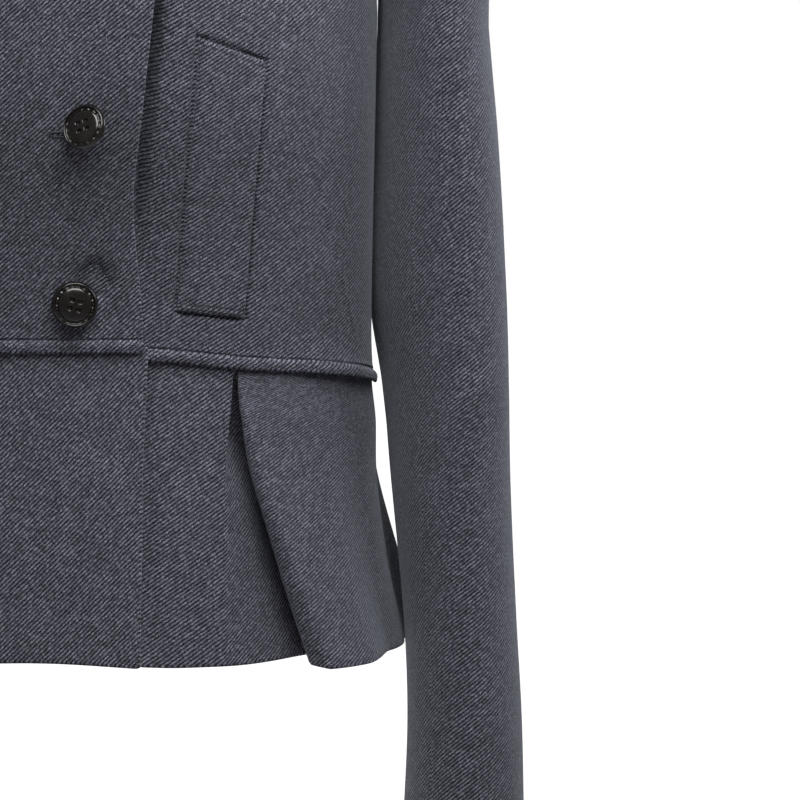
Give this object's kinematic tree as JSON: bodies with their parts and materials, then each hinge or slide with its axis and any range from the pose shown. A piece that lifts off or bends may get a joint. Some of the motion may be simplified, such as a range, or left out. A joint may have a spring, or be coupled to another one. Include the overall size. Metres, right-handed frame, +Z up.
{
  "type": "double-breasted short jacket with peplum, hollow as worn",
  "caption": "Short fitted wool twill jacket with a lapped double-breasted front, low stand collar, two-piece sleeves, upright welt pockets and a pleated peplum, hollow as on its wearer.",
  "frame": {"origin": "base of the neck, midway between the neck ends of the two shoulder seams", "axes": "+Z up, +X towards the wearer's left, -Y towards the front"},
  "size_m": [0.485, 0.2454, 0.6562],
  "materials": {
    "wool_twill": "dull, soft nap",
    "button": "polished"
  },
  "bodies": {
    "root": {"front_right": "wool_twill", "front_left": "wool_twill", "back": "wool_twill", "peplum_front_right": "wool_twill", "peplum_front_left": "wool_twill", "peplum_back": "wool_twill", "sleeve_left_top": "wool_twill", "sleeve_left_under": "wool_twill", "sleeve_right_top": "wool_twill", "sleeve_right_under": "wool_twill", "collar_stand": "wool_twill", "pocket_welt_left": "wool_twill", "pocket_welt_right": "wool_twill", "button_left_1": "button", "button_right_1": "button", "button_left_2": "button", "button_right_2": "button", "button_left_3": "button", "button_right_3": "button", "button_left_4": "button", "button_right_4": "button"}
  },
  "joints": []
}
